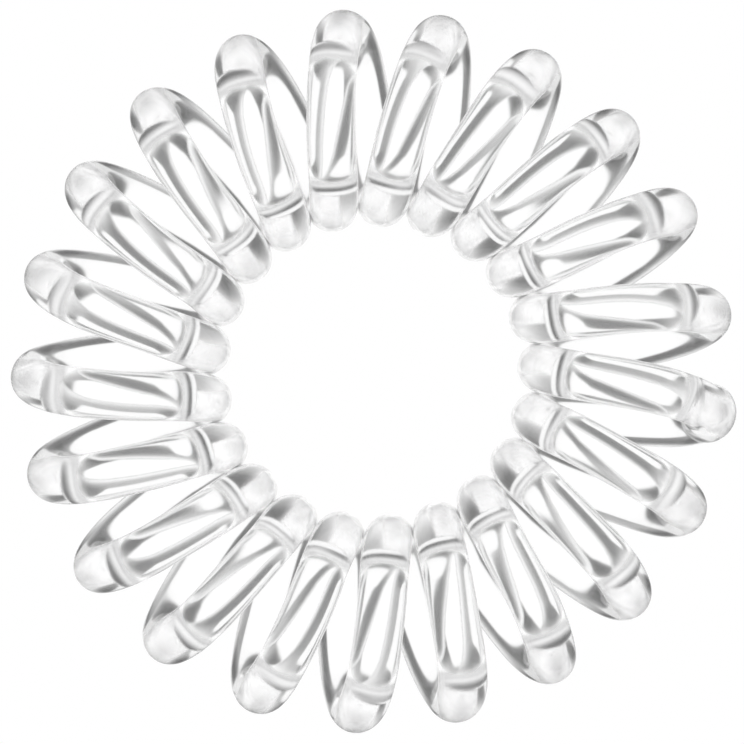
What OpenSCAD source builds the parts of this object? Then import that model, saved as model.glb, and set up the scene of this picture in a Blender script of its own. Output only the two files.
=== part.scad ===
// Spiral hair tie: one round wire of clear flexible plastic, wound as a close coil,
// bent round into a ring and fused end to end. It lies flat on Z = 0 with the
// ring's axis on Z. The wire climbs on the inside of the ring, crosses outwards
// over the top, goes down on the outside and comes back in underneath, and each
// loop is one pitch further clockwise, seen from above. The loops are flattened:
// straight on top and underneath, with a round bend at each end.

/* [Wire] */
// Diameter of the round wire
wire_d = 2.45; // [1.6:0.05:3.6]

/* [Coil] */
// Outside width of the coil, from the hole of the ring to its rim
coil_width = 10.9; // [8:0.1:16]
// Outside height of the coil as it lies
coil_height = 7.6; // [6:0.1:8]
// Number of loops round the ring
loops = 21; // [14:1:24]
// Clearance between neighbouring loops where they crowd on the inside of the ring
loop_gap = 0.02; // [0.01:0.01:0.6]
// Most that the outer end of a loop leans along the ring out of even spacing
loop_lean = 0.15; // [0:0.05:0.4]
// Clockwise angle from +Y to the inner end of the first loop
first_loop = 3; // [0:1:24]

/* [Fused joint] */
// Extra radius of the wire where its two ends are fused
joint_swell = 0.14; // [0:0.02:0.3]
// Length of wire that the swelling takes
joint_len = 2.5; // [2.5:0.5:8]
// Loop that holds the joint, counted clockwise
joint_loop = 6; // [1:1:14]
// Place of the joint round its loop: 90 is the top, 180 the outer end, 270 underneath
joint_turn = 180; // [90:5:270]

/* [Smoothness] */
// Flats round the wire
wire_sides = 12; // [8:2:12]
// Sections along each loop
loop_sections = 20; // [16:4:24]

/* [Hidden] */

// Lean of the outer end of each loop, from the first loop clockwise, as a share of
// loop_lean: 1 is furthest clockwise
LEANS = [
    0, -0.3, -0.3, -1, 0.7, -0.3, -0.3,
    0, 0, -0.3, -0.3, -0.6, 0.3, 0.3,
    1, 0.3, 0.3, 0, -0.3, 0, 1
];

// Counts of flats and sections as whole numbers
flats = round(wire_sides);
per_loop = round(loop_sections);
// From the middle of the coil to the middle of the wire, sideways
coil_r = (coil_width - wire_d) / 2;
// From the middle of the coil to the middle of the wire, up and down: the bends have
// this radius too
bend_r = (coil_height - wire_d) / 2;
// Half of the straight part of a loop
straight = coil_r - bend_r;
// Wire along one radian of winding at the ends of a loop
end_run = sqrt(coil_r * bend_r);
// Between the middles of neighbouring loops on the inside of the ring
inner_step = wire_d + loop_gap;
// Circle through the middle of the wire on the inside of the ring: the loops lie side
// by side there, at the slope that one pitch a loop gives the wire
slope_reach = 2 * sin(180 / loops) * end_run * loops;
inner_r = inner_step * end_run * loops / sqrt(pow(slope_reach, 2) - pow(inner_step, 2));
// Circle through the middle of the coil
ring_r = inner_r + coil_r;
// Circle through the middle of the wire on the outside of the ring
outer_r = ring_r + coil_r;
// Wire along one degree of winding in the bends
degree_len = PI / 180 * norm([end_run, ring_r / loops]);
// Place of the joint along the whole wire, in degrees of winding
joint_at = 360 * (joint_loop - 1) + joint_turn;
sections = loops * per_loop;

// The winding angle a runs from 0 to 360 round each loop and goes on over all loops:
// 0 is the inner end, 90 the top, 180 the outer end, 270 underneath.

function lean_at(a) =
    let (loop = floor(a / 360 + loops) % loops)
    LEANS[loop % len(LEANS)] * loop_lean / outer_r * 180 / PI * (1 - cos(a)) / 2;

function ring_angle(a) = first_loop + a / loops + lean_at(a);

// How far the wire is into a bend at winding angle a: 0 on the straight part, 1 at the
// outer end of a loop and -1 at the inner end
function into_bend(a) = -sign(cos(a)) * max(0, coil_r * abs(cos(a)) - straight) / bend_r;

// Straight out of the coil through the wire, at winding angle a
function outwards(a) =
    let (psi = ring_angle(a), share = into_bend(a))
    [share * sin(psi), share * cos(psi), sign(sin(a)) * sqrt(max(0, 1 - share * share))];

// Middle of the wire at winding angle a
function middle(a) =
    let (psi = ring_angle(a), r = ring_r - coil_r * cos(a))
    [r * sin(psi), r * cos(psi), coil_height / 2 + bend_r * outwards(a)[2]];

function unit(v) = v / norm(v);

// Radius of the wire, with the swelling of the fused joint
function wire_r(a) =
    let (away = abs(a - joint_at) * degree_len / (joint_len / 2))
    wire_d / 2 + (away < 1 ? joint_swell * (1 + cos(180 * away)) / 2 : 0);

// Round section of the wire at winding angle a, square to the wire
function section(a) =
    let (
        along = unit(middle(a + 1) - middle(a - 1)),
        side = unit(cross(along, outwards(a))),
        out = cross(side, along)
    )
    [for (j = [0 : flats - 1])
        let (turn = 360 * j / flats)
        middle(a) + wire_r(a) * (out * cos(turn) + side * sin(turn))];

// Two triangles between section i and the next, at flat j
function flat(i, j) =
    let (
        i2 = (i + 1) % sections,
        j2 = (j + 1) % flats,
        near = i * flats,
        far = i2 * flats
    )
    [[near + j, far + j2, near + j2], [near + j, far + j, far + j2]];

// The whole wire, closed on itself
module coil() {
    points = [for (i = [0 : sections - 1]) each section(360 * i / per_loop)];
    faces = [for (i = [0 : sections - 1], j = [0 : flats - 1]) each flat(i, j)];
    color("gainsboro") polyhedron(points = points, faces = faces, convexity = 8);
}

coil();
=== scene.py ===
import math

import bpy
import numpy as np
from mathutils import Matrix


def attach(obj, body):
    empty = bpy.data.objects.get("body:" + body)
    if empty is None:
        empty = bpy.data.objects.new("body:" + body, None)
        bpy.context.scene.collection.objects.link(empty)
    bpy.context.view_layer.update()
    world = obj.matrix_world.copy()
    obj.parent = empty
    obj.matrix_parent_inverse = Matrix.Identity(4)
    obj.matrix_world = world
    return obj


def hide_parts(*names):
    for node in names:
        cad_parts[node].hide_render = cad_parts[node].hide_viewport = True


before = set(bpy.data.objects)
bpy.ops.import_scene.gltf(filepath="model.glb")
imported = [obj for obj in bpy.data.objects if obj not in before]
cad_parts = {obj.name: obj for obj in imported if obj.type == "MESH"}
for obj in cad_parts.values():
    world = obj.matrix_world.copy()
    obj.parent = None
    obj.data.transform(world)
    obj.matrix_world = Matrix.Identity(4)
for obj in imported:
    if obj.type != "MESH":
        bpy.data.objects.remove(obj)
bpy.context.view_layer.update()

# Sizes of the hair tie, in metres, as in the part's source
WIRE_D = 0.00245
COIL_WIDTH = 0.0109
COIL_HEIGHT = 0.0076
LOOPS = 21
LOOP_GAP = 0.00002
LOOP_LEAN = 0.00015
FIRST_LOOP = 3.0
JOINT_SWELL = 0.00014
JOINT_LEN = 0.0025
JOINT_LOOP = 6
JOINT_TURN = 180.0

# Lean of the outer end of each loop, from the first loop clockwise, as a share of
# LOOP_LEAN: 1 is furthest clockwise
LEANS = [
    0, -0.3, -0.3, -1, 0.7, -0.3, -0.3,
    0, 0, -0.3, -0.3, -0.6, 0.3, 0.3,
    1, 0.3, 0.3, 0, -0.3, 0, 1,
]

# Share of half the joint over which its swelling rises
JOINT_RISE = 0.5

# Slight unevenness of the wire: waves round the whole ring, from and up to, and how far
# the wire strays sideways, inwards and in radius, in metres. OVAL and THREE_SIDED are how
# far its section strays from round, with two and three high places round it. The loops
# touch at their inner ends, so the wire is even there, and the unevenness grows over this
# share of the coil's width.
WAVES = (25, 110)
SIDE_SWAY = 0.00003
IN_SWAY = 0.00002
GIRTH_SWAY = 0.00001
OVAL = 0.000016
THREE_SIDED = 0.000006
CALM_SHARE = 0.175

# Fineness of the mesh: points round the wire and sections along each loop
WIRE_POINTS = 48
LOOP_SECTIONS = 96

# The plastic: its index, its roughness from the glossiest to the dullest patches, and the
# height of its slight unevenness, in metres
INDEX = 1.49
GLOSS = (0.1, 0.15)
UNEVEN = 0.000005
# Soft random patterns in gloss and surface: patches to the metre and finer layers
GLOSS_PATCHES = (250, 3)
UNEVEN_PATCHES = (400, 1)
# Part of the gloss pattern that reaches from glossiest to dullest
GLOSS_SPREAD = (0.3, 0.7)

# Half the width of the floor and of the light under it, and how far the floor is under
# the hair tie, in metres
STAGE_HALF = 3.0
FLOOR_BELOW = 0.0002
# Brightness of the room level with the hair tie, and where the white floor starts to fade
# to it and ends, in metres from the middle
HORIZON = 0.72
FLOOR_FADE = (0.2, 1.2)
# Brightness of the room, by angle from straight down in degrees
ROOM_LIGHT = [(0, HORIZON), (90, HORIZON), (98, 1.0), (110, 1.24), (135, 1.34), (180, 1.38)]
# The light under the floor: depth, turn in degrees and the bright square's half size, how
# square it is (2 is a circle) and the width of its soft edge
TABLE_DEPTH = 0.045
TABLE_TURN = -12.0
TABLE_HALF = 0.0225
TABLE_SQUARENESS = 8.0
TABLE_SOFT_EDGE = 0.0032
# Brightness round the square, by angle from straight down: towards its corners, between
# corner and side, and towards its sides
CORNER_LIGHT = [
    (0, 0.44), (40, 0.44), (45, 0.56), (51, 0.8), (60, 1.0), (66, 0.94), (70, 0.8),
    (74, 0.5), (78, 0.72), (84, 0.78), (90, HORIZON),
]
BETWEEN_LIGHT = [
    (0, 0.32), (36, 0.32), (42, 0.46), (48, 0.58), (56, 0.76), (64, 0.92), (70, 0.82),
    (74, 0.52), (78, 0.72), (90, HORIZON),
]
SIDE_LIGHT = [
    (0, 0.24), (30, 0.22), (33, 0.13), (44, 0.13), (48, 0.22), (52, 0.34), (58, 0.56),
    (64, 0.86), (70, 0.9), (74, 0.66), (78, 0.78), (90, HORIZON),
]
# Where one field turns into the next, from BETWEEN_LIGHT to the other: 1 is straight
# towards a side and -1 straight towards a corner
TO_SIDE = (-0.5, 0.7)
TO_CORNER = (-0.35, -1.0)

# The photograph's frame, and a long lens that sees the ring nearly without perspective
PHOTO_PX = 744
RING_D_PX = 726.1
RING_CENTRE_PX = (373.45, 370.9)
LENS_MM = 600
SENSOR_MM = 36

# Most times that light is followed through or off the plastic
BOUNCES = 48

# From the middle of the coil to the middle of the wire, sideways and up, and half of the
# straight part of a loop
coil_r = (COIL_WIDTH - WIRE_D) / 2
bend_r = (COIL_HEIGHT - WIRE_D) / 2
straight = coil_r - bend_r
# Wire along one radian of winding at the ends of a loop
end_run = math.sqrt(coil_r * bend_r)
# Circles through the middle of the wire on the inside of the ring, where the loops lie
# side by side, through the middle of the coil, and through the wire on the outside
inner_step = WIRE_D + LOOP_GAP
slope_reach = 2 * math.sin(math.pi / LOOPS) * end_run * LOOPS
inner_r = inner_step * end_run * LOOPS / math.sqrt(slope_reach**2 - inner_step**2)
ring_r = inner_r + coil_r
outer_r = ring_r + coil_r
# Wire along one degree of winding in the bends, and the joint's place in degrees
degree_len = math.radians(1) * math.hypot(end_run, ring_r / LOOPS)
joint_at = 360 * (JOINT_LOOP - 1) + JOINT_TURN


# The winding angle a runs from 0 to 360 degrees round each loop and goes on over all
# loops: 0 is the inner end, 90 the top, 180 the outer end, 270 underneath


def unit(v):
    """Same direction, length 1."""
    return v / np.linalg.norm(v, axis=-1, keepdims=True)


def ring_angle(a):
    """Clockwise angle round the ring, in radians."""
    loop = np.floor(a / 360 + LOOPS).astype(int) % LOOPS
    lean = np.array(LEANS)[loop] * LOOP_LEAN / outer_r * (1 - np.cos(np.radians(a))) / 2
    return np.radians(FIRST_LOOP + a / LOOPS) + lean


def outwards(a):
    """Straight out of the coil through the wire."""
    psi = ring_angle(a)
    sideways = np.cos(np.radians(a))
    past = np.maximum(0, coil_r * np.abs(sideways) - straight) / bend_r
    share = -np.sign(sideways) * past
    up = np.sign(np.sin(np.radians(a))) * np.sqrt(np.maximum(0, 1 - share**2))
    return np.stack([share * np.sin(psi), share * np.cos(psi), up], axis=-1)


def middle(a):
    """Middle of the wire."""
    psi = ring_angle(a)
    r = ring_r - coil_r * np.cos(np.radians(a))
    z = COIL_HEIGHT / 2 + bend_r * outwards(a)[..., 2]
    return np.stack([r * np.sin(psi), r * np.cos(psi), z], axis=-1)


def smooth(share):
    """Soft step from 0 to 1."""
    share = np.clip(share, 0, 1)
    return share * share * (3 - 2 * share)


def waviness(a, seed):
    """Smooth random curve along the wire, about -1 to 1, that fades out at the inner ends
    of the loops."""
    random = np.random.default_rng(seed)
    waves = np.arange(*WAVES)
    height = random.normal(size=len(waves)) / math.sqrt(2 * len(waves))
    start = random.uniform(0, 2 * math.pi, len(waves))
    curve = height * np.cos(waves * np.radians(a / LOOPS)[:, None] + start)
    from_inner_end = (1 - np.cos(np.radians(a))) / 2
    return curve.sum(axis=-1) * smooth(from_inner_end / CALM_SHARE)


def joint_swell(a):
    """Extra radius of the wire at the fused joint, with steep ends."""
    inside = 1 - np.abs(a - joint_at) * degree_len / (JOINT_LEN / 2)
    return JOINT_SWELL * smooth(inside / JOINT_RISE)


def coil_mesh(name):
    """The whole wire as one closed tube."""
    n = LOOPS * LOOP_SECTIONS
    a = np.arange(n) * 360.0 / LOOP_SECTIONS
    along = unit(middle(a + 0.5) - middle(a - 0.5))
    side = unit(np.cross(along, outwards(a)))
    out = np.cross(side, along)
    sideways, inwards, girth, oval, oval_turn, three, three_turn = [
        waviness(a, seed)[:, None] for seed in range(7)
    ]
    # The path strays inwards from the coil's true size and hardly past it
    path = middle(a) + SIDE_SWAY * sideways * side - IN_SWAY * (1 + inwards) * out
    turn = np.arange(WIRE_POINTS) * 2 * math.pi / WIRE_POINTS
    radius = (WIRE_D / 2 + joint_swell(a)[:, None] + GIRTH_SWAY * girth
              + OVAL * (oval * np.cos(2 * turn) + oval_turn * np.sin(2 * turn))
              + THREE_SIDED * (three * np.cos(3 * turn) + three_turn * np.sin(3 * turn)))
    ring = (out[:, None, :] * np.cos(turn)[None, :, None]
            + side[:, None, :] * np.sin(turn)[None, :, None])
    verts = path[:, None, :] + radius[:, :, None] * ring
    i = np.arange(n)[:, None]
    j = np.arange(WIRE_POINTS)[None, :]
    j2 = (j + 1) % WIRE_POINTS
    near = i * WIRE_POINTS
    far = ((i + 1) % n) * WIRE_POINTS
    quads = np.stack([near + j, near + j2, far + j2, far + j], axis=-1).reshape(-1, 4)
    mesh = bpy.data.meshes.new(name)
    mesh.from_pydata(verts.reshape(-1, 3).tolist(), [], quads.tolist())
    mesh.polygons.foreach_set("use_smooth", [True] * len(mesh.polygons))
    mesh.update()
    return mesh


def noise(tree, place, scale, detail):
    """Soft random pattern from 0 to 1, with scale patches to the metre."""
    node = tree.nodes.new("ShaderNodeTexNoise")
    tree.links.new(place, node.inputs["Vector"])
    node.inputs["Scale"].default_value = scale
    node.inputs["Detail"].default_value = detail
    return node.outputs[0]


def clear_plastic():
    """Clear glossy plastic, a little duller in patches and very slightly uneven."""
    mat = bpy.data.materials.new("clear_plastic")
    mat.use_nodes = True
    tree = mat.node_tree
    shader = tree.nodes["Principled BSDF"]
    shader.inputs["Base Color"].default_value = (1, 1, 1, 1)
    shader.inputs["IOR"].default_value = INDEX
    shader.inputs["Transmission Weight"].default_value = 1.0
    place = tree.nodes.new("ShaderNodeTexCoord").outputs["Object"]
    gloss = tree.nodes.new("ShaderNodeMapRange")
    tree.links.new(noise(tree, place, *GLOSS_PATCHES), gloss.inputs["Value"])
    gloss.inputs["From Min"].default_value = GLOSS_SPREAD[0]
    gloss.inputs["From Max"].default_value = GLOSS_SPREAD[1]
    gloss.inputs["To Min"].default_value = GLOSS[0]
    gloss.inputs["To Max"].default_value = GLOSS[1]
    tree.links.new(gloss.outputs[0], shader.inputs["Roughness"])
    uneven = tree.nodes.new("ShaderNodeBump")
    uneven.inputs["Strength"].default_value = 1.0
    uneven.inputs["Distance"].default_value = UNEVEN
    tree.links.new(noise(tree, place, *UNEVEN_PATCHES), uneven.inputs["Height"])
    tree.links.new(uneven.outputs[0], shader.inputs["Normal"])
    return mat


def light_ramp(tree, place, steps):
    """Brightness along a line: steps are (place from 0 to 1, brightness)."""
    ramp = tree.nodes.new("ShaderNodeValToRGB")
    tree.links.new(place, ramp.inputs[0])
    stops = ramp.color_ramp.elements
    stops[0].position = steps[0][0]
    stops[1].position = steps[-1][0]
    for at, _ in steps[1:-1]:
        stops.new(at)
    for stop, (_, bright) in zip(stops, steps):
        stop.color = (bright, bright, bright, 1)
    return ramp.outputs[0]


def math_node(tree, operation, first, second=None):
    """One sum in a material: first and second are numbers or other nodes' outputs."""
    node = tree.nodes.new("ShaderNodeMath")
    node.operation = operation
    for socket, value in zip(node.inputs, (first, second)):
        if value is None:
            continue
        if isinstance(value, (int, float)):
            socket.default_value = value
        else:
            tree.links.new(value, socket)
    return node.outputs[0]


def length(tree, vector):
    """Length of a vector in a material."""
    node = tree.nodes.new("ShaderNodeVectorMath")
    node.operation = "LENGTH"
    tree.links.new(vector, node.inputs[0])
    return node.outputs["Value"]


def blend(tree, share, first, second):
    """First colour where share is 0 and second where it is 1."""
    mix = tree.nodes.new("ShaderNodeMix")
    mix.data_type = "RGBA"
    tree.links.new(share, mix.inputs["Factor"])
    for name, colour in (("A", first), ("B", second)):
        if isinstance(colour, float):
            mix.inputs[name].default_value = (colour, colour, colour, 1)
        else:
            tree.links.new(colour, mix.inputs[name])
    return mix.outputs["Result"]


def rise(tree, value, start, end, kind="SMOOTHSTEP"):
    """0 before start and 1 past end."""
    node = tree.nodes.new("ShaderNodeMapRange")
    node.interpolation_type = kind
    tree.links.new(value, node.inputs["Value"])
    node.inputs["From Min"].default_value = start
    node.inputs["From Max"].default_value = end
    return node.outputs[0]


def make_world():
    """Soft light from above and from the sides, by angle from straight down."""
    world = bpy.data.worlds.new("studio")
    bpy.context.scene.world = world
    world.use_nodes = True
    tree = world.node_tree
    tree.nodes.clear()
    coord = tree.nodes.new("ShaderNodeTexCoord")
    split = tree.nodes.new("ShaderNodeSeparateXYZ")
    tree.links.new(coord.outputs["Generated"], split.inputs[0])
    from_top = math_node(tree, "ARCCOSINE", split.outputs["Z"])
    share = math_node(tree, "SUBTRACT", 1.0, math_node(tree, "DIVIDE", from_top, math.pi))
    colour = light_ramp(tree, share, [(angle / 180, bright) for angle, bright in ROOM_LIGHT])
    back = tree.nodes.new("ShaderNodeBackground")
    out = tree.nodes.new("ShaderNodeOutputWorld")
    tree.links.new(colour, back.inputs["Color"])
    tree.links.new(back.outputs[0], out.inputs["Surface"])


def glow_material(name):
    """Material that only gives light, whose colour is still to be linked."""
    mat = bpy.data.materials.new(name)
    mat.use_nodes = True
    tree = mat.node_tree
    tree.nodes.clear()
    glow = tree.nodes.new("ShaderNodeEmission")
    out = tree.nodes.new("ShaderNodeOutputMaterial")
    tree.links.new(glow.outputs[0], out.inputs["Surface"])
    return mat, tree, glow


def stage_square(name, z, mat):
    """Wide level square of the stage, at height z."""
    mesh = bpy.data.meshes.new(name)
    half = STAGE_HALF
    corners = [(-half, -half, z), (half, -half, z), (half, half, z), (-half, half, z)]
    mesh.from_pydata(corners, [], [(0, 1, 2, 3)])
    mesh.materials.append(mat)
    obj = bpy.data.objects.new(name, mesh)
    bpy.context.scene.collection.objects.link(obj)
    return obj


def make_floor():
    """The pale floor, which the camera sees and the light goes through."""
    mat, tree, glow = glow_material("floor")
    place = tree.nodes.new("ShaderNodeTexCoord").outputs["Object"]
    fade = rise(tree, length(tree, place), *FLOOR_FADE)
    tree.links.new(blend(tree, fade, 1.0, HORIZON), glow.inputs["Color"])
    floor = stage_square("floor", -FLOOR_BELOW, mat)
    floor.visible_transmission = False
    floor.visible_glossy = False
    floor.visible_diffuse = False
    floor.visible_shadow = False


def make_light_table():
    """The light under the floor: a bright square with round corners, four dark fields
    next to its sides and four bright fields past its corners."""
    mat, tree, glow = glow_material("light_table")
    place = tree.nodes.new("ShaderNodeTexCoord").outputs["Object"]
    split = tree.nodes.new("ShaderNodeSeparateXYZ")
    tree.links.new(place, split.inputs[0])
    x = split.outputs["X"]
    y = split.outputs["Y"]
    powers = [
        math_node(tree, "POWER", math_node(tree, "ABSOLUTE", side), TABLE_SQUARENESS)
        for side in (x, y)
    ]
    reach = math_node(tree, "POWER", math_node(tree, "ADD", *powers), 1 / TABLE_SQUARENESS)
    past_edge = rise(tree, reach, TABLE_HALF, TABLE_HALF + TABLE_SOFT_EDGE)
    # Angle from straight down, where 1 is level with the table
    slope = math_node(tree, "DIVIDE", length(tree, place), TABLE_DEPTH)
    share = math_node(tree, "DIVIDE", math_node(tree, "ARCTANGENT", slope), math.pi / 2)
    corner, between, side = [
        light_ramp(tree, share, [(angle / 90, bright) for angle, bright in steps])
        for steps in (CORNER_LIGHT, BETWEEN_LIGHT, SIDE_LIGHT)
    ]
    # 1 towards the sides of the square and -1 towards its corners
    four_turns = math_node(tree, "MULTIPLY", math_node(tree, "ARCTAN2", y, x), 4.0)
    sideness = math_node(tree, "COSINE", four_turns)
    fields = blend(tree, rise(tree, sideness, *TO_SIDE, "LINEAR"), between, side)
    fields = blend(tree, rise(tree, sideness, *TO_CORNER), fields, corner)
    tree.links.new(blend(tree, past_edge, 1.0, fields), glow.inputs["Color"])
    table = stage_square("light_table", 0.0, mat)
    table.location.z = -TABLE_DEPTH
    table.rotation_euler.z = math.radians(TABLE_TURN)
    table.visible_camera = False
    table.visible_shadow = False


def make_camera():
    """The camera straight above, with the ring as large and where it is in the photo."""
    cam = bpy.data.cameras.new("camera")
    cam.sensor_width = SENSOR_MM
    cam.lens = LENS_MM
    obj = bpy.data.objects.new("camera", cam)
    bpy.context.scene.collection.objects.link(obj)
    bpy.context.scene.camera = obj
    ring_d = 2 * (outer_r + WIRE_D / 2)
    seen = ring_d * PHOTO_PX / RING_D_PX
    scale = seen / PHOTO_PX
    height = seen * cam.lens / cam.sensor_width
    right = (PHOTO_PX / 2 - RING_CENTRE_PX[0]) * scale
    up = (RING_CENTRE_PX[1] - PHOTO_PX / 2) * scale
    obj.location = (right, up, COIL_HEIGHT / 2 + height)
    cam.clip_start = height / 10
    cam.clip_end = height * 10


coil = bpy.data.objects.new("coil_wire", coil_mesh("coil_wire"))
bpy.context.scene.collection.objects.link(coil)
coil.data.materials.append(clear_plastic())
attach(coil, "root")
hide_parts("coil")

make_world()
make_floor()
make_light_table()
make_camera()

scene = bpy.context.scene
scene.view_settings.view_transform = "Standard"
scene.cycles.max_bounces = BOUNCES
scene.cycles.transmission_bounces = BOUNCES
scene.cycles.glossy_bounces = BOUNCES
